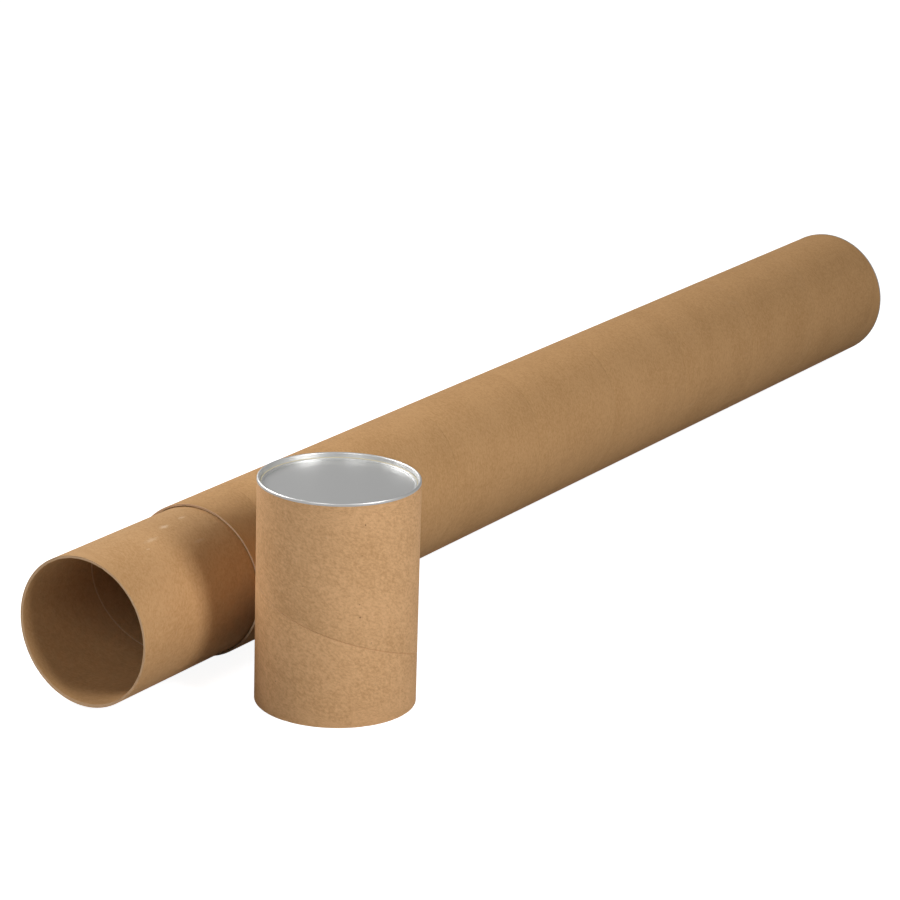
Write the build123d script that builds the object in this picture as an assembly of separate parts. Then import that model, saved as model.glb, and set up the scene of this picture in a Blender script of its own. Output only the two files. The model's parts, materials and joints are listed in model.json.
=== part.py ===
"""Telescoping cardboard mailing tube, with its cap taken off and stood beside it.

A long outer tube lies on its side. A second tube slides inside it and stands out of its mouth as
a spigot, and a short cap of the same stock as the outer tube pushes on over that spigot. The outer
tube's far end and the cap are each closed by a countersunk tinplate end, whose hem is rolled over
the paper wall. All three tubes are spirally wound kraft paperboard.

Millimetres, +Z up. The tube's axis runs along X with its mouth facing -X, and the cap stands on
its open end on the -Y side. The origin is the centre of the whole object's footprint.
"""

import os

from build123d import *

# Paper tubes. The nominal size of a mailing tube is the bore that holds the roll.
INNER_BORE_RADIUS = 50.8
INNER_WALL = 2.0
OUTER_WALL = 1.6
SLIP_GAP = 0.5  # radial, all round the sliding inner tube
OUTER_LENGTH = 961.3
SPIGOT_LENGTH = 125.3  # how far the inner tube stands out of the outer one when pushed home
CAP_LENGTH = 157.0
CUT_EDGE_RADIUS = 0.25  # a sawn paper edge, worn soft
CRUSHED_SHARE = 0.44  # of the squeezed wall, rounded over at each side under the rolled hem

# Tinplate ends, one sheet thick throughout.
SHEET = 0.3
SEAT_GAP = 0.05  # between the sheet and the paper that it grips
HEM_DEPTH = 1.6  # how far the hem reaches down the outside of the tube, lying flush in the paper
HEM_TUCK = 0.4  # how far up the hem its edge starts to turn in
COUNTERSINK = 4.5  # from the rim's crest down to the panel
WALL_BATTER = 0.5  # how far the countersink's wall leans in on its way down
LEDGE_WIDTH = 1.9  # the small step just above the panel
LEDGE_SLOPE = 0.15  # that the step rises on its way out
LEDGE_RISE = 1.1  # from the panel up to that step
STEP_RADIUS = 0.4
INNER_END_GAP = 0.5  # between the inner tube's far edge and the closing panel

# Where the loose cap stands: its axis, measured from the mouth of the outer tube.
CAP_AHEAD = 7.0  # towards -X
CAP_CLEARANCE = 13.8  # open floor between the two tubes' sides

# What follows from the sizes above.
HEM_SEAT = SHEET + SEAT_GAP  # how deep the hem presses the paper in, so that it lies flush
SQUEEZED_WALL = OUTER_WALL - HEM_SEAT
CRUSHED_EDGE_RADIUS = CRUSHED_SHARE * SQUEEZED_WALL
INNER_OUTSIDE_RADIUS = INNER_BORE_RADIUS + INNER_WALL
OUTER_BORE_RADIUS = INNER_OUTSIDE_RADIUS + SLIP_GAP
OUTER_RADIUS = OUTER_BORE_RADIUS + OUTER_WALL
ARCH_RADIUS = SQUEEZED_WALL / 2 + SEAT_GAP + SHEET / 2  # the hem's crest, at the middle of the sheet
WALL_RADIUS = OUTER_BORE_RADIUS - SEAT_GAP - SHEET / 2  # the sheet against the paper's bore
CREST = ARCH_RADIUS - CRUSHED_EDGE_RADIUS + SHEET / 2  # the rim's top above the paper's edge
PANEL_TOP = CREST - COUNTERSINK
INNER_LENGTH = SPIGOT_LENGTH + OUTER_LENGTH + PANEL_TOP - SHEET - INNER_END_GAP

# Places, with the footprint's centre at the origin.
OVERALL_LENGTH = SPIGOT_LENGTH + OUTER_LENGTH + CREST
MOUTH_X = -OVERALL_LENGTH / 2
OUTER_MOUTH_X = MOUTH_X + SPIGOT_LENGTH
TUBE_Y = (2 * OUTER_RADIUS + CAP_CLEARANCE) / 2
TUBE_Z = OUTER_RADIUS
CAP_X = OUTER_MOUTH_X - CAP_AHEAD
CAP_Y = -TUBE_Y


def round_tube(bore_radius, wall, length):
    """A plain tube standing on the XY plane, with its cut edges worn soft."""
    with BuildPart() as tube:
        with BuildSketch():
            Circle(bore_radius + wall)
            Circle(bore_radius, mode=Mode.SUBTRACT)
        extrude(amount=length)
        rims = tube.edges().filter_by(GeomType.CIRCLE).group_by(Axis.Z)
        fillet(rims[0] + rims[-1], CUT_EDGE_RADIUS)
    return tube.part


def hemmed_tube(length):
    """The outer tube's stock: a cut low edge, and a high edge squeezed in under a rolled hem."""
    squeezed_radius = OUTER_BORE_RADIUS + SQUEEZED_WALL
    seat_height = length - HEM_DEPTH - SEAT_GAP
    with BuildPart() as tube:
        with BuildSketch():
            Circle(OUTER_RADIUS)
            Circle(OUTER_BORE_RADIUS, mode=Mode.SUBTRACT)
        extrude(amount=seat_height)
        with BuildSketch(Plane.XY.offset(seat_height)):
            Circle(squeezed_radius)
            Circle(OUTER_BORE_RADIUS, mode=Mode.SUBTRACT)
        extrude(amount=length - seat_height)
        rims = tube.edges().filter_by(GeomType.CIRCLE).group_by(Axis.Z)
        fillet(rims[0], CUT_EDGE_RADIUS)
        fillet(rims[-1], CRUSHED_EDGE_RADIUS)
    return tube.part


def end_sheet_line():
    """The middle line of the tinplate, from the panel's centre out and round the hem.

    Drawn as radius across and height up, with the paper's edge at zero height.
    """
    panel_z = PANEL_TOP - SHEET / 2
    ledge_z = panel_z + LEDGE_RISE
    ledge_radius = WALL_RADIUS - WALL_BATTER
    panel_radius = ledge_radius - LEDGE_WIDTH
    arch_z = -CRUSHED_EDGE_RADIUS
    outside = WALL_RADIUS + 2 * ARCH_RADIUS
    with BuildLine() as line:
        FilletPolyline(
            (0, panel_z),
            (panel_radius, panel_z),
            (panel_radius, ledge_z),
            (ledge_radius, ledge_z + LEDGE_SLOPE),
            (WALL_RADIUS, arch_z),
            radius=STEP_RADIUS,
        )
        CenterArc((WALL_RADIUS + ARCH_RADIUS, arch_z), ARCH_RADIUS, 180, -180)
        skirt = Line((outside, arch_z), (outside, -HEM_DEPTH + HEM_TUCK))
        Line(skirt @ 1, (outside - SEAT_GAP, -HEM_DEPTH))
    return line.wires()[0]


def tinplate_end():
    """The countersunk end: a flat panel, a wall with one step, and a hem rolled over the paper."""
    with BuildPart() as end:
        with BuildSketch(Plane.XZ):
            trace(end_sheet_line().edges(), line_width=SHEET)
        revolve(axis=Axis.Z)
    return end.part


def along_tube(part, x):
    """Turns a part that stands on Z to lie along +X, on the long tube's axis, from that X."""
    return Pos(x, TUBE_Y, TUBE_Z) * Rot(0, 90, 0) * part


def outer_tube():
    """The long tube: its mouth is a cut edge and its far edge is squeezed under the hem."""
    return along_tube(hemmed_tube(OUTER_LENGTH), OUTER_MOUTH_X)


def inner_tube():
    """The sliding tube, pushed home so that only the spigot for the cap stands out."""
    tube = round_tube(INNER_BORE_RADIUS, INNER_WALL, INNER_LENGTH)
    return along_tube(tube, MOUTH_X)


def outer_tube_end():
    """The tinplate end that closes the long tube."""
    return along_tube(tinplate_end(), OUTER_MOUTH_X + OUTER_LENGTH)


def cap_tube():
    """The cap's paper tube, of the same stock as the outer tube, open end down."""
    return Pos(CAP_X, CAP_Y, 0) * hemmed_tube(CAP_LENGTH)


def cap_end():
    """The cap's tinplate end, the twin of the long tube's."""
    return Pos(CAP_X, CAP_Y, CAP_LENGTH) * tinplate_end()


NODES = {
    "outer_tube": outer_tube,
    "outer_tube_end": outer_tube_end,
    "inner_tube": inner_tube,
    "cap_tube": cap_tube,
    "cap_end": cap_end,
}

os.makedirs("parts", exist_ok=True)
for name, make in NODES.items():
    export_step(make(), f"parts/{name}.step")
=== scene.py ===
"""Looks of a telescoping cardboard mailing tube whose metal-ended cap stands beside it.

The paper tubes are wound from plies, as the real ones are: each ply is a strip laid in a helix,
butted edge to edge, and sawn off at the rims. The tinplate ends are spun from one closed sheet
section. Everything is in metres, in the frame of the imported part.
"""

import json
import math

import bmesh
import bpy
from bpy.props import FloatProperty, FloatVectorProperty, IntProperty, PointerProperty
from mathutils import Matrix, Vector


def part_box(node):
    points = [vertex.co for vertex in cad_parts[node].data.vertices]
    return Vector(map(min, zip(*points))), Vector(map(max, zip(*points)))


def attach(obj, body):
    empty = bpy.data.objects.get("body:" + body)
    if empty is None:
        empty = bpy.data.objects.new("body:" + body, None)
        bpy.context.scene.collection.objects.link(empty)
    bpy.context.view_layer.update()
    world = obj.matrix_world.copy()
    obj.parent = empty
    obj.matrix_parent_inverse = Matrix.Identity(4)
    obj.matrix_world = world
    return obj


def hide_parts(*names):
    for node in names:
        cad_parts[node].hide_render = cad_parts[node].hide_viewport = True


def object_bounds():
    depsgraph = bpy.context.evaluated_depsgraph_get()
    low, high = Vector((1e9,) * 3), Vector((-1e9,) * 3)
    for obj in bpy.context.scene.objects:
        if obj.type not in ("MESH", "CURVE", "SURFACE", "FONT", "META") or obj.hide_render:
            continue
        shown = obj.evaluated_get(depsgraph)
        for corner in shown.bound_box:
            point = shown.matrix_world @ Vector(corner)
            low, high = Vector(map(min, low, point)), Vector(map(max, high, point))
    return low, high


bl_info = {
    "name": "Cardboard mailing tube",
    "version": (1, 0, 0),
    "blender": (4, 5, 0),
    "location": "3D View > Sidebar > Mailing Tube",
    "description": "Wound paper tubes, spun tinplate ends and a pale studio for them",
    "category": "Object",
}

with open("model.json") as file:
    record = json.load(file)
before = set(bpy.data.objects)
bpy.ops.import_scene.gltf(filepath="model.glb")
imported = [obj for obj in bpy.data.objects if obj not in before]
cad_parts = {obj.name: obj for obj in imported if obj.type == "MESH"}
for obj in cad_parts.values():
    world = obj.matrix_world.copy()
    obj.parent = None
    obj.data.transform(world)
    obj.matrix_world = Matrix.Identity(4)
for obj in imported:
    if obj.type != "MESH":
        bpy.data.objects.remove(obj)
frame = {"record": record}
CAD_BOX = [list(corner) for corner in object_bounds()]
MM = 0.001


# ---------------------------------------------------------------- sizes read from the frame


def round_size(node, axis):
    """Centre, outside radius, and start and end along the axis of a round CAD node."""
    low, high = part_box(node)
    across = [i for i in range(3) if i != axis]
    radius = min(high[i] - low[i] for i in across) / 2
    return (low + high) / 2, radius, low[axis], high[axis]


def bore_radius(name):
    """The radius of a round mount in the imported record."""
    for mount in frame["record"]["mounts"]:
        if mount["name"] == name:
            return mount["dims"]["r_mm"] * MM
    raise RuntimeError(f"the record has no mount named {name}")


def lying(centre, start):
    """Turns a part wound up +Z to lie along +X. Its zero angle then faces -Y, and turns down."""
    turn = Matrix(((0, 0, 1, 0), (-1, 0, 0, 0), (0, -1, 0, 0), (0, 0, 0, 1)))
    return Matrix.Translation((start, centre.y, centre.z)) @ turn


def standing(centre, start):
    """Moves a part wound up +Z to its place on the surface."""
    return Matrix.Translation((centre.x, centre.y, start))


# ---------------------------------------------------------------- what a user may change


def plain(name, description, default, **kind):
    """A number that a user may change."""
    return FloatProperty(name=name, description=description, default=default, **kind)


def length(name, description, millimetres):
    """A length that a user may change."""
    return plain(name, description, millimetres * MM, unit="LENGTH")


def angle(name, description, degrees):
    """An angle that a user may change."""
    return plain(name, description, math.radians(degrees), subtype="ANGLE")


def paint(name, description, default):
    """A colour that a user may change."""
    return FloatVectorProperty(name=name, description=description, default=default, subtype="COLOR", size=4)


class MailingTubePaper(bpy.types.PropertyGroup):
    """Sizes of the wound paper."""

    pitch: length("Ply pitch", "Advance of the strip in one turn", 116)
    face_ply: length("Face ply", "Thickness of the facing strips", 0.36)
    seam: length("Seam", "Gap left between two turns of the cap's face", 0.5)
    tight_seam: length("Tight seam", "Gap where the turns butt closely", 0.14)
    hidden_seam: length("Hidden seam", "Gap where the turns are pressed shut", 0.04)
    outer_wall: length("Outer wall", "Wall of the outer tube and cap", 1.6)
    sawn_depth: length("Sawn edge", "How uneven a sawn rim is", 0.55)
    steps: IntProperty(name="Steps a turn", description="Facets in one turn", default=144, min=24, max=360)


class MailingTubeColours(bpy.types.PropertyGroup):
    """Colours of the paper and the metal."""

    kraft: paint("Kraft", "Face of the paper", (0.585, 0.345, 0.158, 1))
    kraft_dark: paint("Dark fibre", "Darker pulp", (0.40, 0.215, 0.082, 1))
    kraft_pale: paint("Pale fibre", "Cut edges and scuffs", (0.68, 0.48, 0.31, 1))
    speck: paint("Speck", "Dark specks in the pulp", (0.11, 0.05, 0.02, 1))
    tinplate: paint("Tinplate", "Bright rolled steel", (0.60, 0.605, 0.585, 1))
    # The cream colour of the ring at the dish's step is painted reflection of the kraft.
    painted_reflection: paint("Painted_reflection", "Painted bead", (0.78, 0.70, 0.50, 1))


class MailingTubeTin(bpy.types.PropertyGroup):
    """Sizes of the spun tinplate ends."""

    sheet: length("Sheet", "Thickness of the sheet", 0.3)
    countersink: length("Countersink", "Depth of the panel below the rim", 4.5)
    seat_gap: length("Seat gap", "Gap between the sheet and the paper", 0.05)
    hem: length("Hem", "Reach of the hem below the paper's edge", 1.6)
    tuck: length("Tuck", "How far up the hem its edge turns in", 0.4)
    crushed: plain("Crushed share", "Share of the squeezed wall that is rounded over", 0.44)
    batter: length("Batter", "How far the countersink's wall leans in", 0.5)
    ledge: length("Ledge", "Width of the step above the panel", 1.9)
    ledge_rise: length("Ledge rise", "From the panel up to the step", 1.1)
    ledge_slope: length("Ledge slope", "Rise of the step on its way out", 0.15)
    fold: length("Fold", "Radius of the folds in the dish", 0.4)
    turns: IntProperty(name="Facets", description="Facets round the end", default=288, min=48, max=720)


# ---------------------------------------------------------------- small node helpers


def put(tree, kind, inputs=(), **settings):
    """Adds a node with its settings, and links or sets its inputs by name or number."""
    node = tree.nodes.new(kind)
    for key, value in settings.items():
        setattr(node, key, value)
    for key, value in dict(inputs).items():
        socket = node.inputs[key]
        if isinstance(value, bpy.types.NodeSocket):
            tree.links.new(value, socket)
        else:
            socket.default_value = value
    return node


def maths(tree, operation, *values, clamp=False):
    """One step of arithmetic."""
    node = put(tree, "ShaderNodeMath", dict(enumerate(values)), operation=operation, use_clamp=clamp)
    return node.outputs[0]


def vector(tree, x, y, z):
    """Three numbers as one vector."""
    return put(tree, "ShaderNodeCombineXYZ", {0: x, 1: y, 2: z}).outputs[0]


def noise(tree, where, scale, detail=3.0, roughness=0.55):
    """Soft noise from 0 to 1."""
    inputs = {"Vector": where, "Scale": scale, "Detail": detail, "Roughness": roughness}
    return put(tree, "ShaderNodeTexNoise", inputs).outputs[0]


def socket_in(tree, name, kind, default=None):
    """A named input of a group or a modifier."""
    item = tree.interface.new_socket(name=name, in_out="INPUT", socket_type="NodeSocket" + kind)
    if default is not None:
        item.default_value = default
    return item


def socket_out(tree, name, kind):
    """A named output of a group or a modifier."""
    return tree.interface.new_socket(name=name, in_out="OUTPUT", socket_type="NodeSocket" + kind)


def put_out(tree, *values):
    """Ends a group with its outputs, in order."""
    end = tree.nodes.new("NodeGroupOutput")
    for i, value in enumerate(values):
        tree.links.new(value, end.inputs[i])


# ---------------------------------------------------------------- the wound ply, in Geometry Nodes

CORE_SEAM = 0.3 * MM
CORE_RECESS = 0.12 * MM
CORE_OVERLAP = 0.02 * MM
SINK_PER_TURN = 3e-6  # metres that each turn lies below the last
WELD = 8e-7  # metres within which two points become one
SLIVER = 2e-7  # metres below which an edge is dissolved
INNER_MARK = 0.3  # the third strip coordinate on a ply's inner side; it is zero outside


def choose(tree, test, if_false, if_true):
    """One of two numbers."""
    inputs = {"Switch": test, "False": if_false, "True": if_true}
    return put(tree, "GeometryNodeSwitch", inputs, input_type="FLOAT").outputs[0]


def compare(tree, operation, a, b):
    """Whether one number is above, below or equal to another."""
    node = put(tree, "FunctionNodeCompare", {0: a, 1: b}, data_type="FLOAT", operation=operation)
    return node.outputs[0]


def coated_output(tree, geometry, material):
    """Realizes a tree's instances, gives them their material and puts them out."""
    real = put(tree, "GeometryNodeRealizeInstances", {"Geometry": geometry})
    coated = put(tree, "GeometryNodeSetMaterial", {"Geometry": real.outputs[0], "Material": material})
    put_out(tree, coated.outputs[0])


def ply_group():
    """A strip of paper wound in a left-handed helix up +Z and sawn off at both rims."""
    tree = bpy.data.node_groups.new("wound_ply", "GeometryNodeTree")
    socket_in(tree, "Radius", "Float", 0.05)
    socket_in(tree, "Thickness", "Float", 0.0004)
    socket_in(tree, "Pitch", "Float", 0.1)
    socket_in(tree, "Seam", "Float", 0.0004)
    socket_in(tree, "Phase", "Float", 0.0)
    socket_in(tree, "Length", "Float", 0.2)
    socket_in(tree, "Low Sawn", "Float", 0.0003)
    socket_in(tree, "High Sawn", "Float", 0.0003)
    socket_in(tree, "Edge Drop", "Float", 0.2)
    socket_in(tree, "Recess", "Float", 0.0)
    socket_in(tree, "Steps", "Int", 144)
    socket_in(tree, "Spans", "Int", 8)
    socket_in(tree, "Seed", "Float", 0.0)
    socket_out(tree, "Ply", "Geometry")
    given = tree.nodes.new("NodeGroupInput").outputs
    spans, steps, pitch = given["Spans"], given["Steps"], given["Pitch"]

    # A flat sheet of stations along the strip by points round its section, closed on itself.
    turns = maths(tree, "DIVIDE", maths(tree, "ADD", given["Length"], pitch), pitch)
    stations = maths(tree, "ADD", maths(tree, "CEIL", maths(tree, "MULTIPLY", turns, steps)), 2.0)
    loop = maths(tree, "ADD", maths(tree, "MULTIPLY", spans, 2.0), 3.0)
    grid = {"Size X": 1.0, "Size Y": 1.0, "Vertices X": stations, "Vertices Y": loop}
    sheet = put(tree, "GeometryNodeMeshGrid", grid)
    index = tree.nodes.new("GeometryNodeInputIndex").outputs[0]
    station = maths(tree, "FLOOR", maths(tree, "DIVIDE", maths(tree, "ADD", index, 0.5), loop))
    place = maths(tree, "SUBTRACT", index, maths(tree, "MULTIPLY", station, loop))

    # Where each point sits across the strip, and whether it is on the strip's inner side.
    under = compare(tree, "GREATER_THAN", place, maths(tree, "ADD", spans, 0.5))
    wrapped = compare(tree, "GREATER_THAN", place, maths(tree, "SUBTRACT", loop, 1.5))
    back = maths(tree, "SUBTRACT", maths(tree, "MULTIPLY_ADD", spans, 2.0, 1.0), place)
    slot = choose(tree, wrapped, choose(tree, under, place, back), 0.0)
    inner = maths(tree, "SUBTRACT", under, wrapped)
    first = compare(tree, "LESS_THAN", slot, 0.5)
    last = compare(tree, "GREATER_THAN", slot, maths(tree, "SUBTRACT", spans, 0.5))
    at_edge = maths(tree, "ADD", first, last)
    width = maths(tree, "SUBTRACT", pitch, given["Seam"])
    margin = maths(tree, "DIVIDE", given["Thickness"], width)
    inner_spans = maths(tree, "MAXIMUM", maths(tree, "SUBTRACT", spans, 2.0), 1.0)
    middle = maths(tree, "DIVIDE", maths(tree, "SUBTRACT", slot, 1.0), inner_spans, clamp=True)
    inset = maths(tree, "MULTIPLY_ADD", middle, maths(tree, "MULTIPLY_ADD", margin, -2.0, 1.0), margin)
    across = choose(tree, first, choose(tree, last, inset, 1.0), 0.0)

    # The strip climbs one pitch a turn, from clear of the low rim to clear of the high one.
    climb = maths(tree, "DIVIDE", maths(tree, "MULTIPLY", station, pitch), steps)
    centre = maths(tree, "MULTIPLY_ADD", pitch, -0.5, climb)
    turned = maths(tree, "DIVIDE", centre, pitch)
    bearing = maths(tree, "MULTIPLY_ADD", turned, -math.tau, given["Phase"])
    height = maths(tree, "MULTIPLY_ADD", maths(tree, "SUBTRACT", across, 0.5), width, centre)
    cosine, sine = maths(tree, "COSINE", bearing), maths(tree, "SINE", bearing)

    # Sawn rims wander a little, and have small torn nicks.
    def sawn(offset, depth):
        seed = maths(tree, "ADD", given["Seed"], offset)
        where = vector(tree, cosine, sine, seed)
        slow = noise(tree, where, 1.6, 2.0, 0.5)
        quick = noise(tree, where, 15.0, 3.0, 0.5)
        nick = maths(tree, "MULTIPLY", maths(tree, "SUBTRACT", quick, 0.57), 4.5, clamp=True)
        share = maths(tree, "MULTIPLY_ADD", slow, 0.6, maths(tree, "MULTIPLY", nick, 0.8))
        return maths(tree, "MULTIPLY_ADD", share, depth, given["Recess"])

    low = sawn(3.1, given["Low Sawn"])
    high = maths(tree, "SUBTRACT", given["Length"], sawn(7.7, given["High Sawn"]))
    held = maths(tree, "MINIMUM", maths(tree, "MAXIMUM", height, low), high)
    covered = maths(tree, "LESS_THAN", given["High Sawn"], 1e-6)
    to_high = maths(tree, "ADD", maths(tree, "SUBTRACT", high, held), covered)
    rim = maths(tree, "MINIMUM", maths(tree, "SUBTRACT", held, low), to_high)

    # Each turn lies a hair lower than the last, so that two turns never share a point.
    sink = maths(tree, "MULTIPLY", maths(tree, "DIVIDE", station, steps), SINK_PER_TURN)
    drop = maths(tree, "MULTIPLY", given["Thickness"], given["Edge Drop"])
    softened = maths(tree, "MULTIPLY", at_edge, drop)
    top = maths(tree, "SUBTRACT", given["Radius"], softened)
    foot = maths(tree, "ADD", maths(tree, "SUBTRACT", given["Radius"], given["Thickness"]), softened)
    on_inner = compare(tree, "GREATER_THAN", inner, 0.5)
    lie = maths(tree, "SUBTRACT", choose(tree, on_inner, top, foot), sink)
    spot = vector(tree, maths(tree, "MULTIPLY", lie, cosine), maths(tree, "MULTIPLY", lie, sine), held)
    wound = put(tree, "GeometryNodeSetPosition", {"Geometry": sheet.outputs["Mesh"], "Position": spot})

    along = maths(tree, "MULTIPLY", turned, maths(tree, "MULTIPLY", given["Radius"], math.tau))
    off_centre = maths(tree, "SUBTRACT", height, centre)
    strip = vector(tree, along, off_centre, maths(tree, "MULTIPLY", inner, INNER_MARK))
    kept = wound.outputs[0]
    for name, kind, value in (("strip", "FLOAT_VECTOR", strip), ("rim", "FLOAT", rim)):
        stored = {"Geometry": kept, "Name": name, "Value": value}
        store = put(tree, "GeometryNodeStoreNamedAttribute", stored, data_type=kind, domain="POINT")
        kept = store.outputs[0]
    welded = put(tree, "GeometryNodeMergeByDistance", {"Geometry": kept, "Distance": WELD})
    put_out(tree, welded.outputs[0])
    return tree


def tube_tree(ply):
    """Four plies, one inside the other, make the wall of a tube."""
    tree = bpy.data.node_groups.new("wound_tube", "GeometryNodeTree")
    socket_out(tree, "Geometry", "Geometry")
    socket_in(tree, "Geometry", "Geometry")
    for name in ("Outside Radius", "Wall", "Length", "Pitch", "Face Ply", "Outer Seam", "Inner Seam"):
        socket_in(tree, name, "Float", 0.01)
    for name in ("Outer Phase", "Inner Phase", "Low Sawn", "High Sawn", "Edge Drop"):
        socket_in(tree, name, "Float", 0.0)
    socket_in(tree, "Steps", "Int", 144)
    socket_in(tree, "Paper", "Material")
    given = tree.nodes.new("NodeGroupInput").outputs
    core = maths(tree, "SUBTRACT", given["Wall"], maths(tree, "MULTIPLY", given["Face Ply"], 2.0))
    half_core = maths(tree, "DIVIDE", core, 2.0)
    face = given["Face Ply"]
    below_face = maths(tree, "SUBTRACT", given["Outside Radius"], face)
    below_half = maths(tree, "SUBTRACT", below_face, half_core)
    below_core = maths(tree, "SUBTRACT", below_face, core)

    # Each ply's radius, thickness, seam, phase, recess, spans, seed and raggedness, outside first.
    layers = (
        (given["Outside Radius"], face, given["Outer Seam"], given["Outer Phase"], 0.0, 8, 1.0, 0.7),
        (below_face, half_core, CORE_SEAM, 1.9, CORE_RECESS, 3, 2.0, 1.0),
        (below_half, half_core, CORE_SEAM, 4.1, CORE_RECESS, 3, 3.0, 1.0),
        (below_core, face, given["Inner Seam"], given["Inner Phase"], 0.0, 8, 4.0, 3.2),
    )
    join = tree.nodes.new("GeometryNodeJoinGeometry")
    for radius, thickness, seam, phase, back, spans, seed, ragged in layers:
        fill = {
            "Radius": maths(tree, "ADD", radius, CORE_OVERLAP if back else 0.0),
            "Thickness": maths(tree, "ADD", thickness, 2 * CORE_OVERLAP if back else 0.0),
            "Pitch": given["Pitch"],
            "Seam": seam,
            "Phase": phase,
            "Length": given["Length"],
            "Low Sawn": maths(tree, "MULTIPLY", given["Low Sawn"], ragged),
            "High Sawn": maths(tree, "MULTIPLY", given["High Sawn"], ragged),
            "Edge Drop": given["Edge Drop"],
            "Recess": back,
            "Steps": given["Steps"],
            "Spans": spans,
            "Seed": seed,
        }
        layer = put(tree, "GeometryNodeGroup", fill, node_tree=ply)
        tree.links.new(layer.outputs[0], join.inputs[0])
    coated_output(tree, join.outputs[0], given["Paper"])
    return tree


def grown(name, tree, values, place):
    """The plain mesh that a Geometry Nodes tree makes, at its place in the frame."""
    holder = bpy.data.objects.new(name + "_nodes", bpy.data.meshes.new(name + "_seed"))
    bpy.context.collection.objects.link(holder)
    modifier = holder.modifiers.new("nodes", "NODES")
    modifier.node_group = tree
    sockets = {item.name: item.identifier for item in tree.interface.items_tree if item.in_out == "INPUT"}
    for key, value in values.items():
        modifier[sockets[key]] = value
    graph = bpy.context.evaluated_depsgraph_get()
    mesh = bpy.data.meshes.new_from_object(holder.evaluated_get(graph))
    bpy.data.objects.remove(holder)
    if not mesh.polygons:
        raise RuntimeError(f"the tree for {name} made nothing")
    mesh.transform(place)
    return finished(name, mesh)


def finished(name, mesh, sharp=38):
    """Links a mesh as a piece, with its faces outward, smooth, and sharp past an angle."""
    form = bmesh.new()
    form.from_mesh(mesh)
    bmesh.ops.dissolve_degenerate(form, dist=SLIVER, edges=form.edges)
    bmesh.ops.recalc_face_normals(form, faces=form.faces)
    form.to_mesh(mesh)
    form.free()
    mesh.name = name
    mesh.shade_smooth()
    mesh.set_sharp_from_angle(angle=math.radians(sharp))
    piece = bpy.data.objects.new(name, mesh)
    bpy.context.collection.objects.link(piece)
    return piece


# ---------------------------------------------------------------- finishes


def stretched(tree, where, factors):
    """A position scaled differently along each axis."""
    node = put(tree, "ShaderNodeVectorMath", {0: where, 1: factors}, operation="MULTIPLY")
    return node.outputs[0]


def ramped(tree, value, low, high):
    """0 below low, 1 above high, and smooth between."""
    node = put(
        tree,
        "ShaderNodeMapRange",
        {"Value": value, "From Min": low, "From Max": high},
        interpolation_type="SMOOTHSTEP",
    )
    return node.outputs[0]


def mixed(tree, share, under, over):
    """Two colours mixed by a share."""
    return put(tree, "ShaderNodeMix", {0: share, 6: under, 7: over}, data_type="RGBA").outputs[2]


def pulp_group():
    """The look of kraft pulp: cloudy tone, specks, stray pale fibres and a felted height."""
    tree = bpy.data.node_groups.new("kraft_pulp", "ShaderNodeTree")
    socket_in(tree, "Strip", "Vector")
    socket_in(tree, "Cloud", "Float", 0.5)
    socket_in(tree, "Speck Share", "Float", 0.12)
    socket_out(tree, "Tone", "Float")
    socket_out(tree, "Specks", "Float")
    socket_out(tree, "Stray Fibres", "Float")
    socket_out(tree, "Height", "Float")
    given = tree.nodes.new("NodeGroupInput").outputs
    strip = given["Strip"]
    grain = noise(tree, stretched(tree, strip, (0.8, 1.0, 1.0)), 560.0, 4.0, 0.7)
    flock = noise(tree, strip, 180.0, 3.0, 0.6)
    cloud = noise(tree, stretched(tree, strip, (0.8, 1.0, 1.0)), 24.0, 3.0, 0.5)
    fine = maths(tree, "MULTIPLY_ADD", grain, 0.7, maths(tree, "MULTIPLY", flock, 0.3))
    tone = maths(tree, "MULTIPLY_ADD", maths(tree, "SUBTRACT", cloud, 0.5), given["Cloud"], fine)
    cells = put(tree, "ShaderNodeTexVoronoi", {"Vector": strip, "Scale": 95.0, "Randomness": 1.0})
    chosen = put(tree, "ShaderNodeSeparateColor", {0: cells.outputs["Color"]})
    rare = maths(tree, "LESS_THAN", chosen.outputs[0], given["Speck Share"])
    size = maths(tree, "MULTIPLY_ADD", chosen.outputs[1], 0.05, 0.02)
    dot = maths(tree, "LESS_THAN", cells.outputs["Distance"], size)
    specks = maths(tree, "MULTIPLY", maths(tree, "MULTIPLY", rare, dot), chosen.outputs[2])
    strand = noise(tree, stretched(tree, strip, (0.18, 1.0, 1.0)), 900.0, 2.0, 0.5)
    stray = ramped(tree, strand, 0.66, 0.78)
    height = maths(tree, "MULTIPLY_ADD", strand, 0.35, maths(tree, "MULTIPLY", fine, 0.65))
    put_out(tree, tone, specks, stray, height)
    return tree


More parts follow.
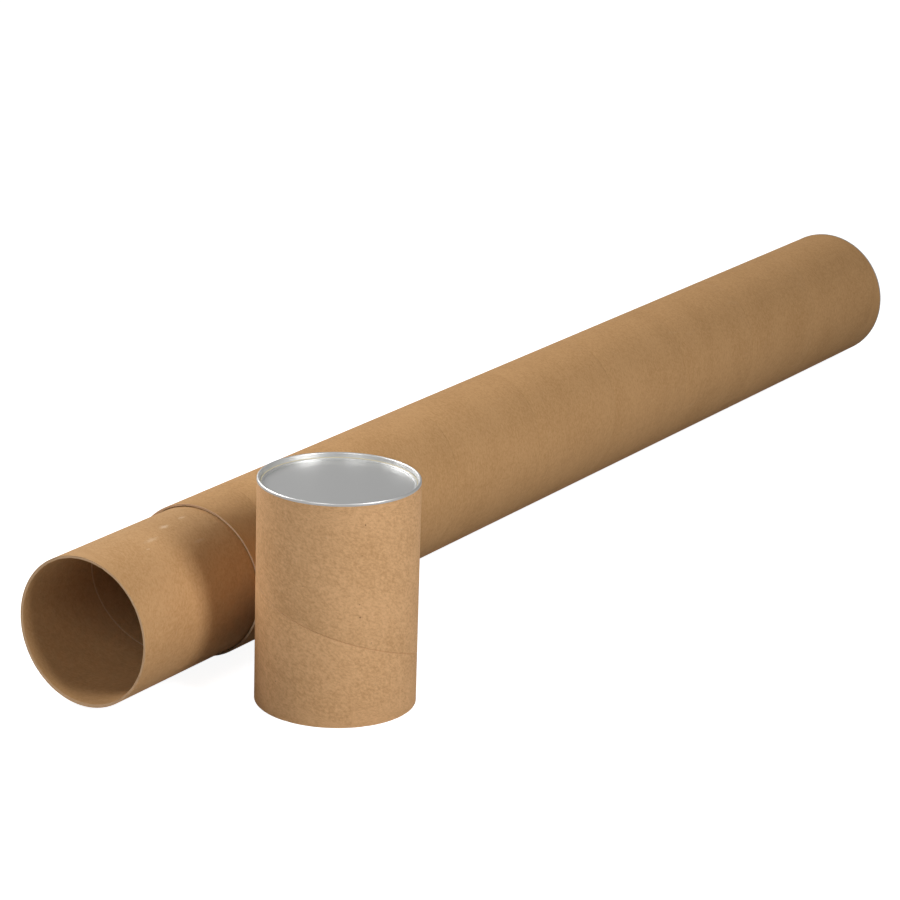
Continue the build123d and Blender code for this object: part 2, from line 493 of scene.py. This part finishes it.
def rubbed_group():
    """Where a surface is rubbed: a pale line at its rims, and streaks of scuffing further in."""
    tree = bpy.data.node_groups.new("rubbed_edges", "ShaderNodeTree")
    socket_in(tree, "Rim Distance", "Float")
    socket_in(tree, "Position", "Vector")
    socket_in(tree, "Strip", "Vector")
    socket_in(tree, "Half Pitch", "Float", 0.05)
    socket_in(tree, "Reach", "Float", 0.5 * MM)
    socket_in(tree, "Scuffs", "Float", 0.3)
    socket_out(tree, "Rubbed", "Float")
    socket_out(tree, "Bore Line", "Float")
    given = tree.nodes.new("NodeGroupInput").outputs
    wander = noise(tree, given["Position"], 240.0, 3.0)
    reach = maths(tree, "MULTIPLY", given["Reach"], maths(tree, "MULTIPLY_ADD", wander, 1.2, 0.4))
    near = maths(tree, "SUBTRACT", 1.0, maths(tree, "DIVIDE", given["Rim Distance"], reach), clamp=True)
    streak = noise(tree, stretched(tree, given["Position"], (0.16, 1.0, 1.0)), 210.0, 3.0)
    patch = noise(tree, given["Position"], 11.0, 2.0)
    scuff = maths(tree, "MULTIPLY", ramped(tree, streak, 0.60, 0.78), ramped(tree, patch, 0.52, 0.72))
    worn = maths(tree, "MULTIPLY_ADD", scuff, given["Scuffs"], near, clamp=True)

    # In the bore, a pale line is painted along the edge of each turn.
    spot = put(tree, "ShaderNodeSeparateXYZ", {0: given["Strip"]}).outputs
    to_edge = maths(tree, "SUBTRACT", given["Half Pitch"], maths(tree, "ABSOLUTE", spot[1]))
    at_edge = maths(tree, "SUBTRACT", 1.0, ramped(tree, to_edge, 0.3 * MM, 0.8 * MM))
    in_bore = maths(tree, "GREATER_THAN", spot[2], INNER_MARK / 2)
    put_out(tree, worn, maths(tree, "MULTIPLY", at_edge, in_bore))
    return tree


def mark_group():
    """One ragged spot, streak or scuff at a place on a surface."""
    tree = bpy.data.node_groups.new("single_mark", "ShaderNodeTree")
    socket_in(tree, "Position", "Vector")
    socket_in(tree, "Place", "Vector")
    socket_in(tree, "Half Size", "Vector", (MM, MM, MM))
    socket_in(tree, "Share", "Float", 0.8)
    socket_out(tree, "Mark", "Float")
    given = tree.nodes.new("NodeGroupInput").outputs
    place, size = given["Place"], given["Half Size"]
    offset = put(tree, "ShaderNodeVectorMath", {0: given["Position"], 1: place}, operation="SUBTRACT")
    scaled = put(tree, "ShaderNodeVectorMath", {0: offset.outputs[0], 1: size}, operation="DIVIDE")
    away = put(tree, "ShaderNodeVectorMath", {0: scaled.outputs[0]}, operation="LENGTH")
    ragged = noise(tree, given["Position"], 700.0, 4.0, 0.75)
    reach = maths(tree, "MULTIPLY_ADD", ragged, 2.6, away.outputs["Value"])
    inside = maths(tree, "SUBTRACT", 1.0, ramped(tree, reach, 1.4, 2.3))
    put_out(tree, maths(tree, "MULTIPLY", inside, given["Share"]))
    return tree


def on_tube(node, axis, degrees, along):
    """A place on a tube: an angle round it and a distance from its low end, in degrees and mm."""
    centre, radius, start, _ = round_size(node, axis)
    turn, reach = math.radians(degrees), start + along * MM
    across, up = radius * math.cos(turn), radius * math.sin(turn)
    if axis == 2:
        return Vector((centre.x + across, centre.y + up, reach))
    return Vector((reach, centre.y - across, centre.z + up))


# Dark specks on the cap: degrees round it, height and radius in millimetres.
CAP_SPECKS = (
    (-129.5, 78, 1.0), (-130, 87, 0.6), (-127, 142, 0.75), (-129, 121, 0.45),
    (-183, 110, 0.5), (-170, 98, 0.55), (-120.5, 59, 0.7), (-192, 26, 0.6),
)
# Pale scuffs on the sliding tube: degrees up from its front, millimetres from its mouth, half sizes.
SPIGOT_SCUFFS = (
    (86, 104, (4.5, 1.6, 2.0), 0.75), (84, 82, (6.0, 2.6, 2.5), 0.95), (76, 58, (9.0, 2.4, 2.4), 0.55),
    (69, 47, (2.4, 0.8, 5.0), 0.8), (58, 92, (7.0, 2.0, 2.0), 0.3),
)


def cap_marks(colours):
    """The cap's specks."""
    return [
        (on_tube("cap_tube", 2, degrees, height), (size * MM,) * 3, colours.speck, 0.75)
        for degrees, height, size in CAP_SPECKS
    ]


def spigot_marks(colours):
    """The sliding tube's scuffs."""
    return [
        (on_tube("inner_tube", 0, degrees, along), [a * MM for a in size], colours.kraft_pale, share)
        for degrees, along, size, share in SPIGOT_SCUFFS
    ]


def attribute(tree, name, output):
    """A value stored on the mesh."""
    return put(tree, "ShaderNodeAttribute", attribute_name=name, attribute_type="GEOMETRY").outputs[output]


def bumped(tree, shader, strength, depth, height):
    """Roughens a shader's surface with a height."""
    bump = put(tree, "ShaderNodeBump", {"Strength": strength, "Distance": depth, "Height": height})
    tree.links.new(bump.outputs[0], shader.inputs["Normal"])


def surface(name, **constants):
    """A material with one Principled shader, with its constants on its own sockets."""
    material = bpy.data.materials.new(name)
    material.use_nodes = True
    tree = material.node_tree
    shader = tree.nodes["Principled BSDF"]
    for key, value in constants.items():
        shader.inputs[key.replace("_", " ")].default_value = value
    return material, tree, shader


def kraft(name, colours, groups, cloud, specks, scuffs, pale_rim, tint_and_painted_light, marks=()):
    """Brown wound paper, with its own marks: each has a place, three half sizes, a colour and a share."""
    material, tree, shader = surface(name, IOR=1.42, Specular_IOR_Level=0.18)
    position = tree.nodes.new("ShaderNodeTexCoord").outputs["Object"]
    strip = attribute(tree, "strip", "Vector")
    fill = {"Strip": strip, "Cloud": cloud, "Speck Share": specks}
    pulp = put(tree, "ShaderNodeGroup", fill, node_tree=groups["pulp"])
    fill = {
        "Rim Distance": attribute(tree, "rim", "Fac"),
        "Position": position,
        "Strip": strip,
        "Half Pitch": bpy.context.scene.tube_paper.pitch / 2,
        "Scuffs": scuffs,
    }
    rubbed = put(tree, "ShaderNodeGroup", fill, node_tree=groups["rubbed"])
    pale = list(colours.kraft_pale)
    # The tint also carries painted light: on the cap it pales the paper to stand in for the stronger light
    # falling on it.
    face = [a * b for a, b in zip(colours.kraft, (*tint_and_painted_light, 1))]
    tone = ramped(tree, pulp.outputs["Tone"], 0.30, 0.66)
    clouded = mixed(tree, tone, list(colours.kraft_dark), face)
    body = mixed(tree, 0.32, clouded, face)
    body = mixed(tree, maths(tree, "MULTIPLY", pulp.outputs["Stray Fibres"], 0.3), body, pale)
    body = mixed(tree, maths(tree, "MULTIPLY", rubbed.outputs[0], pale_rim), body, pale)
    body = mixed(tree, maths(tree, "MULTIPLY", rubbed.outputs["Bore Line"], 0.9), body, pale)
    body = mixed(tree, maths(tree, "MULTIPLY", pulp.outputs["Specks"], 0.9), body, list(colours.speck))
    for place, size, colour, share in marks:
        fill = {"Position": position, "Place": place, "Half Size": size, "Share": share}
        mark = put(tree, "ShaderNodeGroup", fill, node_tree=groups["mark"])
        body = mixed(tree, mark.outputs[0], body, list(colour))
    tree.links.new(body, shader.inputs["Base Color"])
    dullness = maths(tree, "MULTIPLY_ADD", pulp.outputs["Tone"], -0.16, 0.86)
    tree.links.new(dullness, shader.inputs["Roughness"])
    felt = maths(tree, "MULTIPLY_ADD", rubbed.outputs[0], 0.8, pulp.outputs["Height"])
    bumped(tree, shader, 0.22, 0.12 * MM, felt)
    return material


def tinplate(colours):
    """Bright rolled sheet: faint rolling lines and a few handling marks."""
    material, tree, shader = surface("tinplate", Metallic=1.0)
    position = tree.nodes.new("ShaderNodeTexCoord").outputs["Object"]
    rolled = noise(tree, stretched(tree, position, (0.06, 1.0, 1.0)), 620.0, 3.0, 0.6)
    marks = noise(tree, position, 70.0, 4.0, 0.65)
    blot = ramped(tree, noise(tree, position, 33.0, 2.0), 0.58, 0.75)
    dull = [c * 0.78 for c in list(colours.tinplate)[:3]] + [1]
    tone = maths(tree, "MULTIPLY_ADD", rolled, 0.5, maths(tree, "MULTIPLY", blot, 0.35))
    tree.links.new(mixed(tree, tone, list(colours.tinplate), dull), shader.inputs["Base Color"])
    gloss = maths(tree, "MULTIPLY_ADD", marks, 0.12, maths(tree, "MULTIPLY_ADD", rolled, 0.05, 0.06))
    tree.links.new(gloss, shader.inputs["Roughness"])
    bumped(tree, shader, 0.06, 0.05 * MM, rolled)
    return material


def painted_reflection(colours):
    """A cream ring whose colour is painted reflection: it stands in for the kraft mirrored where the dish's
    wall meets the step.
    """
    material, tree, shader = surface("sealing_compound")
    position = tree.nodes.new("ShaderNodeTexCoord").outputs["Object"]
    ring_mottle = noise(tree, position, 160.0, 3.0)
    dark = [c * 0.72 for c in list(colours.painted_reflection)[:3]] + [1]
    tree.links.new(mixed(tree, ring_mottle, list(colours.painted_reflection), dark), shader.inputs["Base Color"])
    tree.links.new(maths(tree, "MULTIPLY_ADD", ring_mottle, 0.2, 0.4), shader.inputs["Roughness"])
    bumped(tree, shader, 0.3, 0.1 * MM, ring_mottle)
    return material


def finishes():
    """Every material, made once."""
    made = bpy.data.materials.get("kraft_outer")
    if made is None:
        colours = bpy.context.scene.tube_colours
        groups = {"pulp": pulp_group(), "rubbed": rubbed_group(), "mark": mark_group()}
        scuffs, specks = spigot_marks(colours), cap_marks(colours)
        # Cloud, speck share, scuffs, pale rims and tint of each paper, then its own marks. The cap's tint
        # is painted light: it makes the cap's paper paler to stand in for the stronger light on it.
        kraft("kraft_outer", colours, groups, 0.28, 0.04, 0.2, 0.8, (0.97, 0.95, 0.94))
        kraft("kraft_inner", colours, groups, 0.26, 0.05, 0.35, 0.3, (0.95, 0.96, 1.0), scuffs)
        kraft("kraft_cap", colours, groups, 0.26, 0.05, 0.1, 0.3, (1.2, 1.22, 1.36), specks)
        tinplate(colours)
        painted_reflection(colours)
    return bpy.data.materials


# ---------------------------------------------------------------- the pieces

COLLAR_ROOT = 0.3 * MM
COLLAR_INSET = 0.05 * MM
COLLAR_ARC_STEPS = 6


def tube(name, node, place, axis, hemmed, values, body, material):
    """One wound tube in place of its CAD node. A hemmed one stops where its metal end grips it."""
    paper, tin = bpy.context.scene.tube_paper, bpy.context.scene.tube_tin
    centre, radius, start, end = round_size(node, axis)
    seat = tin.hem + tin.seat_gap if hemmed else 0.0
    ply = bpy.data.node_groups.get("wound_ply") or ply_group()
    tree = bpy.data.node_groups.get("wound_tube") or tube_tree(ply)
    sizes = {
        "Outside Radius": radius,
        "Length": end - start - seat,
        "Pitch": paper.pitch,
        "Face Ply": paper.face_ply,
        "Low Sawn": paper.sawn_depth,
        "High Sawn": 0.0 if hemmed else paper.sawn_depth,
        "Steps": paper.steps,
        "Paper": finishes()[material],
    }
    pieces = [grown(name, tree, {**sizes, **values}, place(centre, start))]
    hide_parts(node)
    if hemmed:
        outline = collar_section(tin, paper.outer_wall, radius, seat)
        collar = spun(name + "_collar", outline, paper.steps, place(centre, end), closed=True)
        collar.data.materials.append(finishes()[material])
        pieces.append(collar)
    for piece in pieces:
        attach(piece, body)


def collar_section(tin, wall, radius, seat):
    """The paper squeezed inside a hem, with its edge crushed round. Height zero is the edge."""
    inner = radius - wall
    outer = inner + squeezed(tin, wall)
    crushed = tin.crushed * squeezed(tin, wall)
    foot = -seat - COLLAR_ROOT
    outline = [Vector((inner + COLLAR_INSET, foot)), Vector((outer, foot))]
    for corner, quarter in ((outer - crushed, 0), (inner + crushed, 1)):
        for i in range(COLLAR_ARC_STEPS + 1):
            turn = math.pi / 2 * (quarter + i / COLLAR_ARC_STEPS)
            outline.append(Vector((corner + crushed * math.cos(turn), -crushed + crushed * math.sin(turn))))
    return outline


def seam_phase(degrees, height):
    """The phase that puts a face ply's seam at a height up the tube, at an angle round it."""
    pitch = bpy.context.scene.tube_paper.pitch
    return math.radians(degrees) + math.tau * height / pitch - math.pi


class MAILTUBE_OT_outer_tube(bpy.types.Operator):
    """Winds the long outer tube"""

    bl_idname = "mailtube.outer_tube"
    bl_label = "Outer tube"

    def execute(self, context):
        paper = context.scene.tube_paper
        values = {
            "Wall": paper.outer_wall,
            "Outer Seam": paper.tight_seam,
            "Inner Seam": paper.tight_seam,
            "Outer Phase": seam_phase(0, 16.3 * MM),
            "Inner Phase": seam_phase(140, 60 * MM),
            "Edge Drop": 0.06,
        }
        tube(
            "outer_tube_plies", "outer_tube", lying, 0, True, values, "outer", "kraft_outer"
        )
        return {"FINISHED"}


class MAILTUBE_OT_inner_tube(bpy.types.Operator):
    """Winds the sliding inner tube"""

    bl_idname = "mailtube.inner_tube"
    bl_label = "Inner tube"

    def execute(self, context):
        paper = context.scene.tube_paper
        radius = round_size("inner_tube", 0)[1]
        values = {
            "Wall": radius - bore_radius("document_bore"),
            "Outer Seam": paper.hidden_seam,
            "Inner Seam": paper.hidden_seam,
            "Outer Phase": seam_phase(0, 100 * MM),
            "Inner Phase": seam_phase(0, 19 * MM),
            "Edge Drop": 0.0,
        }
        tube(
            "inner_tube_plies", "inner_tube", lying, 0, False, values, "inner", "kraft_inner"
        )
        return {"FINISHED"}


class MAILTUBE_OT_cap_tube(bpy.types.Operator):
    """Winds the cap's short tube"""

    bl_idname = "mailtube.cap_tube"
    bl_label = "Cap tube"

    def execute(self, context):
        paper = context.scene.tube_paper
        values = {
            "Wall": paper.outer_wall,
            "Outer Seam": paper.seam,
            "Inner Seam": paper.tight_seam,
            "Outer Phase": seam_phase(-134, 58.8 * MM),
            "Inner Phase": seam_phase(30, 70 * MM),
            "Edge Drop": 0.12,
        }
        tube(
            "cap_tube_plies", "cap_tube", standing, 2, True, values, "outer", "kraft_cap"
        )
        return {"FINISHED"}


HEM_ARC_STEPS = 22
BEAD_GIRTH = 0.32 * MM
BEAD_FACETS = 10


def rounded(points, radius, steps=6):
    """An open outline of straight runs, with an arc of that radius at each inside corner."""
    out = [Vector(points[0])]
    for before, corner, after in zip(points, points[1:], points[2:]):
        corner = Vector(corner)
        back, onward = Vector(before) - corner, Vector(after) - corner
        half = back.angle(onward) / 2
        reach = min(radius / math.tan(half), back.length * 0.48, onward.length * 0.48)
        start, end = corner + back.normalized() * reach, corner + onward.normalized() * reach
        for i in range(steps + 1):
            t = i / steps
            out.append(start * (1 - t) ** 2 + corner * (2 * t * (1 - t)) + end * t**2)
    out.append(Vector(points[-1]))
    return out


def thickened(line, thickness):
    """The closed outline of a sheet whose middle line is given."""
    left, right = [], []
    for i, point in enumerate(line):
        ahead = line[min(i + 1, len(line) - 1)] - line[max(i - 1, 0)]
        normal = Vector((-ahead.y, ahead.x)).normalized() * (thickness / 2)
        left.append(point + normal)
        right.append(point - normal)
    return left + right[::-1]


def spun(name, outline, facets, place, closed):
    """Spins an outline about +Z. An outline that meets the axis starts and ends on it."""
    form = bmesh.new()
    rings = []
    for point in outline:
        if point.x < 1e-7:
            rings.append([form.verts.new((0, 0, point.y))] * facets)
        else:
            turn = [math.tau * i / facets for i in range(facets)]
            rings.append(
                [form.verts.new((point.x * math.cos(a), point.x * math.sin(a), point.y)) for a in turn]
            )
    pairs = list(zip(rings, rings[1:]))
    if closed:
        pairs.append((rings[-1], rings[0]))
    for low, high in pairs:
        for i in range(facets):
            k = (i + 1) % facets
            corners = list(dict.fromkeys((low[i], low[k], high[k], high[i])))
            if len(corners) > 2:
                form.faces.new(corners)
    mesh = bpy.data.meshes.new(name)
    form.to_mesh(mesh)
    form.free()
    mesh.transform(place)
    return finished(name, mesh, sharp=60)


def squeezed(tin, wall):
    """What is left of a wall where the hem presses into it."""
    return wall - tin.sheet - tin.seat_gap


def end_section(tin, wall, rim):
    """The middle line of a rolled end's sheet, from the panel's centre to the hem's edge.

    Radius across and height up, with the crest of the rim at zero height.
    """
    half = tin.sheet / 2
    arch = squeezed(tin, wall) / 2 + tin.seat_gap + half
    outside = rim - half
    inside = outside - 2 * arch
    arch_height = -arch - half
    edge = arch_height + tin.crushed * squeezed(tin, wall)
    panel = -tin.countersink - half
    ledge = inside - tin.batter
    step = ledge - tin.ledge
    step_height = panel + tin.ledge_rise
    dish = [
        (step * 0.9, panel),
        (step, panel),
        (step, step_height),
        (ledge, step_height + tin.ledge_slope),
        (inside, arch_height),
    ]
    line = [Vector((0, panel))] + rounded(dish, tin.fold)
    for i in range(1, HEM_ARC_STEPS + 1):
        turn = math.pi * (1 - i / HEM_ARC_STEPS)
        line.append(Vector((inside + arch + arch * math.cos(turn), arch_height + arch * math.sin(turn))))
    line.append(Vector((outside, edge - tin.hem + tin.tuck)))
    line.append(Vector((outside - tin.seat_gap, edge - tin.hem)))
    return line


def bead_section(tin, line):
    """The cream ring's outline, which lies where the dish's wall meets the small step. Its colour is
    painted reflection.
    """
    corner = min(line, key=lambda point: abs(point.y - line[0].y - tin.ledge_rise - tin.ledge_slope))
    centre = Vector((corner.x - BEAD_GIRTH, corner.y + tin.sheet / 2))
    turns = [math.tau * i / BEAD_FACETS for i in range(BEAD_FACETS)]
    return [centre + Vector((math.cos(a), math.sin(a))) * BEAD_GIRTH for a in turns]


def rolled_end(name, node, place, rim, body):
    """A tinplate end and a cream ring at its dish's step, whose colour is painted reflection of the kraft.
    """
    scene = bpy.context.scene
    tin, wall = scene.tube_tin, scene.tube_paper.outer_wall
    line = end_section(tin, wall, rim)
    sheet = spun(name, thickened(line, tin.sheet), tin.turns, place, closed=False)
    sheet.data.materials.append(finishes()["tinplate"])
    bead = spun(name + "_seal", bead_section(tin, line), tin.turns, place, closed=True)
    bead.data.materials.append(finishes()["sealing_compound"])
    for piece in (sheet, bead):
        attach(piece, body)
    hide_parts(node)


class MAILTUBE_OT_metal_ends(bpy.types.Operator):
    """Spins the two tinplate ends"""

    bl_idname = "mailtube.metal_ends"
    bl_label = "Metal ends"

    def execute(self, context):
        centre, rim, _, high = round_size("cap_end", 2)
        rolled_end("cap_end_sheet", "cap_end", standing(centre, high), rim, "outer")
        centre, rim, _, high = round_size("outer_tube_end", 0)
        rolled_end("outer_end_sheet", "outer_tube_end", lying(centre, high), rim, "outer")
        return {"FINISHED"}


MOUTH_FIBRES = 420
RIM_FIBRES = 320
FIBRE_LENGTH = 0.6 * MM
FIBRE_THICKNESS = 0.05 * MM
FIBRE_BORE_INSET = 0.2 * MM
FIBRE_FACE_INSET = 0.65 * MM
FIBRE_SEED = 11


def fibre_tree():
    """Short torn fibres scattered round a sawn rim."""
    tree = bpy.data.node_groups.new("torn_fibres", "GeometryNodeTree")
    socket_out(tree, "Geometry", "Geometry")
    socket_in(tree, "Geometry", "Geometry")
    socket_in(tree, "Count", "Int", 200)
    socket_in(tree, "Inner Radius", "Float", 0.05)
    socket_in(tree, "Outer Radius", "Float", 0.052)
    socket_in(tree, "Longest", "Float", 0.001)
    socket_in(tree, "Thickness", "Float", 0.00005)
    socket_in(tree, "Seed", "Int", 1)
    socket_in(tree, "Paper", "Material")
    given = tree.nodes.new("NodeGroupInput").outputs

    def chance(low, high, offset):
        seed = maths(tree, "ADD", given["Seed"], offset)
        node = put(tree, "FunctionNodeRandomValue", data_type="FLOAT")
        for key, value in (("Min", low), ("Max", high), ("Seed", seed)):
            socket = [s for s in node.inputs if s.name == key and s.enabled][0]
            if isinstance(value, bpy.types.NodeSocket):
                tree.links.new(value, socket)
            else:
                socket.default_value = value
        return [s for s in node.outputs if s.enabled][0]

    bearing = chance(0.0, math.tau, 1)
    radius = chance(given["Inner Radius"], given["Outer Radius"], 2)
    spot = vector(
        tree,
        maths(tree, "MULTIPLY", radius, maths(tree, "COSINE", bearing)),
        maths(tree, "MULTIPLY", radius, maths(tree, "SINE", bearing)),
        0.0,
    )
    points = put(tree, "GeometryNodePoints", {"Count": given["Count"], "Position": spot})
    hair = put(
        tree,
        "GeometryNodeMeshCone",
        {"Vertices": 4, "Side Segments": 3, "Radius Top": 0.25, "Radius Bottom": 1.0, "Depth": 1.0},
    )
    girth = maths(tree, "MULTIPLY", given["Thickness"], chance(0.6, 1.2, 3))
    share = chance(0.0, 1.0, 4)
    cubed = maths(tree, "POWER", share, 3.0)
    reach = maths(tree, "MULTIPLY", given["Longest"], maths(tree, "MULTIPLY_ADD", cubed, 0.75, 0.25))
    lean = vector(tree, chance(0.95, 1.55, 5), 0.0, maths(tree, "ADD", bearing, chance(-2.2, 2.2, 6)))
    rotation = put(tree, "FunctionNodeEulerToRotation", {0: lean})
    scatter = put(
        tree,
        "GeometryNodeInstanceOnPoints",
        {
            "Points": points.outputs[0],
            "Instance": hair.outputs["Mesh"],
            "Rotation": rotation.outputs[0],
            "Scale": vector(tree, girth, girth, reach),
        },
    )
    coated_output(tree, scatter.outputs[0], given["Paper"])
    return tree


class MAILTUBE_OT_torn_fibres(bpy.types.Operator):
    """Scatters torn fibres on the sawn rims"""

    bl_idname = "mailtube.torn_fibres"
    bl_label = "Torn fibres"

    def execute(self, context):
        paper = context.scene.tube_paper
        tree = fibre_tree()
        centre, radius, start, _ = round_size("inner_tube", 0)
        place = lying(centre, start + paper.sawn_depth)
        bore = bore_radius("document_bore")
        mouth = ("mouth_fibres", "inner", "inner_kraft", place, bore, radius, MOUTH_FIBRES)
        centre, radius, start, _ = round_size("outer_tube", 0)
        place = lying(centre, start)
        bore = radius - paper.outer_wall
        rim = ("outer_rim_fibres", "outer", "outer_kraft", place, bore, radius, RIM_FIBRES)
        for seed, (name, body, slot, place, inner, outer, count) in enumerate((mouth, rim), 1):
            values = {
                "Count": count,
                "Inner Radius": inner + FIBRE_BORE_INSET,
                "Outer Radius": outer - FIBRE_FACE_INSET,
                "Longest": FIBRE_LENGTH,
                "Thickness": FIBRE_THICKNESS,
                "Seed": FIBRE_SEED * seed,
                "Paper": finishes()["kraft_inner"],
            }
            piece = grown(name, tree, values, place)
            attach(piece, body)
        return {"FINISHED"}


# ---------------------------------------------------------------- the stage


class MailingTubeStage(bpy.types.PropertyGroup):
    """The camera's place and lens, and the levels of the studio."""

    azimuth: angle("Azimuth", "Round from the front", -57.66)
    elevation: angle("Elevation", "Above the horizon", 17.93)
    roll: angle("Roll", "Tip of the camera", 1.73)
    place: FloatVectorProperty(
        name="Place",
        description="The camera's place",
        default=(-2.2295, -1.2905, 0.8846),
        subtype="TRANSLATION",
    )
    lens: plain("Lens", "Focal length in millimetres", 138.46)
    ambient: plain("Ambient", "Level of the room's light", 0.05)
    mirrored: plain("Mirrored", "Level of the room in bright metal", 0.385)
    floor_mirrored: plain("Floor mirrored", "Level of the floor in metal", 0.1)
    floor_glow: plain("Floor glow", "Paleness of the floor", 0.93)


FLOOR_REACH = 12.0
# Softboxes: bearing right of the camera's side, elevation, distance, width, height, watts.
SOFTBOXES = {
    "key": (53, 35, 2.0, 0.45, 1.3, 27.5),
    "left": (-23, 36, 2.2, 0.32, 1.2, 12.0),
    "side": (-99, 35, 2.0, 0.42, 1.2, 17.0),
    "rear": (-140, 35, 2.2, 1.0, 1.0, 20.0),
}


def outward(azimuth, elevation):
    """The direction from the object towards an azimuth and elevation."""
    flat = math.cos(elevation)
    return Vector((math.sin(azimuth) * flat, -math.cos(azimuth) * flat, math.sin(elevation)))


def camera(stage):
    """The scene's camera."""
    data = bpy.data.cameras.new("camera")
    data.lens = stage.lens
    data.clip_end = 50
    eye = bpy.data.objects.new("camera", data)
    back = outward(stage.azimuth, stage.elevation)
    level = (-back).to_track_quat("-Z", "Y").to_matrix()
    turned = level @ Matrix.Rotation(stage.roll, 3, "Z")
    eye.matrix_world = Matrix.Translation(stage.place) @ turned.to_4x4()
    bpy.context.collection.objects.link(eye)
    bpy.context.scene.camera = eye


def softbox(name, azimuth, aim, spec):
    """One rectangular lamp that faces the object."""
    bearing, elevation, distance, width, height, watts = spec
    data = bpy.data.lights.new(name, "AREA")
    data.shape = "RECTANGLE"
    data.size, data.size_y = width, height
    data.energy = watts
    lamp = bpy.data.objects.new(name, data)
    away = outward(azimuth + math.radians(bearing), math.radians(elevation))
    lamp.location = aim + away * distance
    lamp.rotation_euler = away.to_track_quat("Z", "Y").to_euler()
    bpy.context.collection.objects.link(lamp)


def room(stage):
    """Even light all round. The camera sees it white, and bright metal at a level of its own."""
    world = bpy.data.worlds.new("room")
    bpy.context.scene.world = world
    world.use_nodes = True
    tree = world.node_tree
    ray = tree.nodes.new("ShaderNodeLightPath").outputs
    bounced = maths(tree, "MAXIMUM", ray["Is Glossy Ray"], ray["Is Transmission Ray"])
    level = maths(tree, "MULTIPLY_ADD", bounced, stage.mirrored - stage.ambient, stage.ambient)
    seen = maths(tree, "MULTIPLY_ADD", ray["Is Camera Ray"], 1.0, level)
    tree.links.new(seen, tree.nodes["Background"].inputs["Strength"])
    tree.nodes["Background"].inputs["Color"].default_value = (1, 1, 1, 1)


def floor(stage, level):
    """A pale floor that keeps the object's shadow."""
    mesh = bpy.data.meshes.new("floor")
    around = ((-1, -1), (1, -1), (1, 1), (-1, 1))
    corners = [(x * FLOOR_REACH, y * FLOOR_REACH, level) for x, y in around]
    mesh.from_pydata(corners, [], [(0, 1, 2, 3)])
    ground = bpy.data.objects.new("floor", mesh)
    bpy.context.collection.objects.link(ground)
    grey, white = (0.5, 0.5, 0.5, 1), (1, 1, 1, 1)
    material, tree, shader = surface("floor", Base_Color=grey, Roughness=1.0, Emission_Color=white)
    ray = tree.nodes.new("ShaderNodeLightPath").outputs
    shown = maths(tree, "MAXIMUM", ray["Is Camera Ray"], ray["Is Transmission Ray"])
    mirrored = maths(tree, "MULTIPLY", ray["Is Glossy Ray"], stage.floor_mirrored)
    glow = maths(tree, "MAXIMUM", maths(tree, "MULTIPLY", shown, stage.floor_glow), mirrored)
    tree.links.new(glow, shader.inputs["Emission Strength"])
    mesh.materials.append(material)


class MAILTUBE_OT_stage(bpy.types.Operator):
    """Sets the floor, the lamps and the camera"""

    bl_idname = "mailtube.stage"
    bl_label = "Stage"

    def execute(self, context):
        stage = context.scene.tube_stage
        context.scene.view_settings.view_transform = "Standard"
        low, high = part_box("cap_tube")
        aim = (low + high) / 2
        for name, spec in SOFTBOXES.items():
            softbox(name, stage.azimuth, aim, spec)
        room(stage)
        floor(stage, CAD_BOX[0][2])
        camera(stage)
        return {"FINISHED"}


# ---------------------------------------------------------------- the add-on


class MAILTUBE_PT_panel(bpy.types.Panel):
    """The pieces of the mailing tube and their sizes"""

    bl_idname = "MAILTUBE_PT_panel"
    bl_label = "Mailing Tube"
    bl_space_type = "VIEW_3D"
    bl_region_type = "UI"
    bl_category = "Mailing Tube"

    def draw(self, context):
        for operator in OPERATORS:
            self.layout.operator(operator.bl_idname)
        for group in GROUPS:
            settings = getattr(context.scene, group)
            for key in GROUPS[group].__annotations__:
                self.layout.prop(settings, key)


OPERATORS = (
    MAILTUBE_OT_outer_tube,
    MAILTUBE_OT_inner_tube,
    MAILTUBE_OT_cap_tube,
    MAILTUBE_OT_metal_ends,
    MAILTUBE_OT_torn_fibres,
    MAILTUBE_OT_stage,
)
GROUPS = {
    "tube_paper": MailingTubePaper,
    "tube_colours": MailingTubeColours,
    "tube_tin": MailingTubeTin,
    "tube_stage": MailingTubeStage,
}


def register():
    for made in (*GROUPS.values(), *OPERATORS, MAILTUBE_PT_panel):
        bpy.utils.register_class(made)
    for name, group in GROUPS.items():
        setattr(bpy.types.Scene, name, PointerProperty(type=group))


def unregister():
    for name in GROUPS:
        delattr(bpy.types.Scene, name)
    for made in reversed((*GROUPS.values(), *OPERATORS, MAILTUBE_PT_panel)):
        bpy.utils.unregister_class(made)


def main():
    """Registers the add-on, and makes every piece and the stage."""
    register()
    for operator in OPERATORS:
        family, name = operator.bl_idname.split(".")
        getattr(getattr(bpy.ops, family), name)()


if __name__ == "__main__":
    main()
